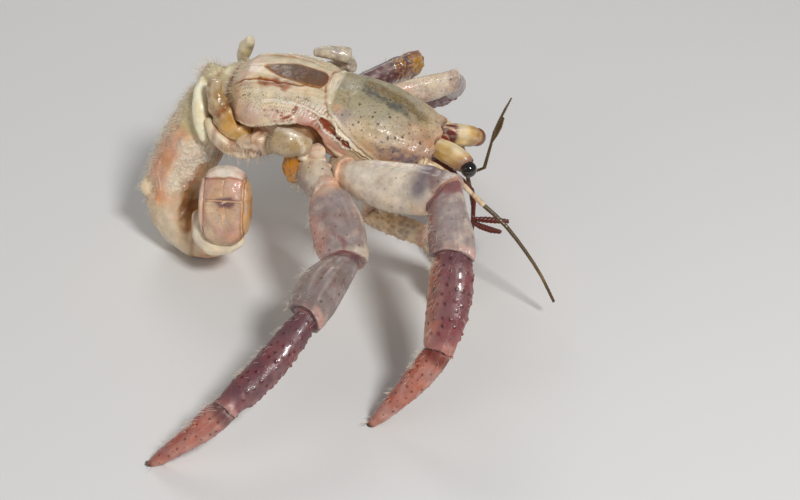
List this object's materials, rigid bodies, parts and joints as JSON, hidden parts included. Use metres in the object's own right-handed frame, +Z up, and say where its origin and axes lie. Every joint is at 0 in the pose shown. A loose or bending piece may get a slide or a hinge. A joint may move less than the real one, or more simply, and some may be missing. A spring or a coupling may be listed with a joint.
{
  "type": "hermit crab",
  "caption": "Life-size still model of a land hermit crab out of its shell, standing on its claws, walking legs and curled tail.",
  "frame": {"origin": "on the floor, under the middle of the crab's whole box", "axes": "+Z up; +X towards the head; -Y towards the crab's right side"},
  "size_m": [0.0454, 0.0648, 0.0228],
  "materials": {
    "shield": "satin, mottled grey-lavender with fine dark dots",
    "carapace": "damp parchment, cream-pink with dark specks",
    "thorax": "damp pale membrane",
    "abdomen": "damp soft skin, cream to salmon pink",
    "tail": "satin cream plates with ochre rims",
    "leg_upper": "satin, pale lavender with cream rims",
    "leg_lower": "satin, salmon to purple with dark red dots",
    "claw": "satin purple with red-brown grains",
    "small_leg": "satin cream to amber",
    "eyestalk": "glossy cream with brown ends",
    "eye": "polished near-black",
    "feeler_stem": "satin cream",
    "feeler_whip": "satin olive-brown, ringed",
    "feeler_brush": "satin rust-red, ringed"
  },
  "bodies": {
    "root": {"carapace_shield": "shield", "carapace_back": "carapace", "thorax": "thorax", "tergite_6": "tail", "telson": "tail", "uropod_left": "tail", "uropod_right": "tail", "abdomen_1": "abdomen", "abdomen_2": "abdomen", "abdomen_3": "abdomen", "abdomen_4": "abdomen", "eyestalk_left": "eyestalk", "eye_left": "eye", "antenna_left_stem": "feeler_stem", "antenna_left_whip": "feeler_whip", "antennule_left": "feeler_brush", "maxilliped_left": "thorax", "leg_2_left_coxa": "leg_upper", "leg_2_left_merus": "leg_upper", "leg_2_left_carpus": "leg_upper", "leg_2_left_propodus": "leg_lower", "leg_2_left_dactyl": "leg_lower", "leg_3_left_coxa": "leg_upper", "leg_3_left_merus": "leg_upper", "leg_3_left_carpus": "leg_upper", "leg_3_left_propodus": "leg_lower", "leg_3_left_dactyl": "leg_lower", "claw_left_coxa": "leg_upper", "claw_left_merus": "claw", "claw_left_carpus": "claw", "claw_left_palm": "claw", "claw_left_finger": "claw", "leg_4_left": "small_leg", "leg_5_left": "small_leg", "eyestalk_right": "eyestalk", "eye_right": "eye", "antenna_right_stem": "feeler_stem", "antenna_right_whip": "feeler_whip", "antennule_right": "feeler_brush", "maxilliped_right": "thorax", "leg_2_right_coxa": "leg_upper", "leg_2_right_merus": "leg_upper", "leg_2_right_carpus": "leg_upper", "leg_2_right_propodus": "leg_lower", "leg_2_right_dactyl": "leg_lower", "leg_3_right_coxa": "leg_upper", "leg_3_right_merus": "leg_upper", "leg_3_right_carpus": "leg_upper", "leg_3_right_propodus": "leg_lower", "leg_3_right_dactyl": "leg_lower", "claw_right_coxa": "leg_upper", "claw_right_merus": "claw", "claw_right_carpus": "claw", "claw_right_palm": "claw", "claw_right_finger": "claw", "leg_4_right": "small_leg", "leg_5_right": "small_leg"}
  },
  "joints": []
}
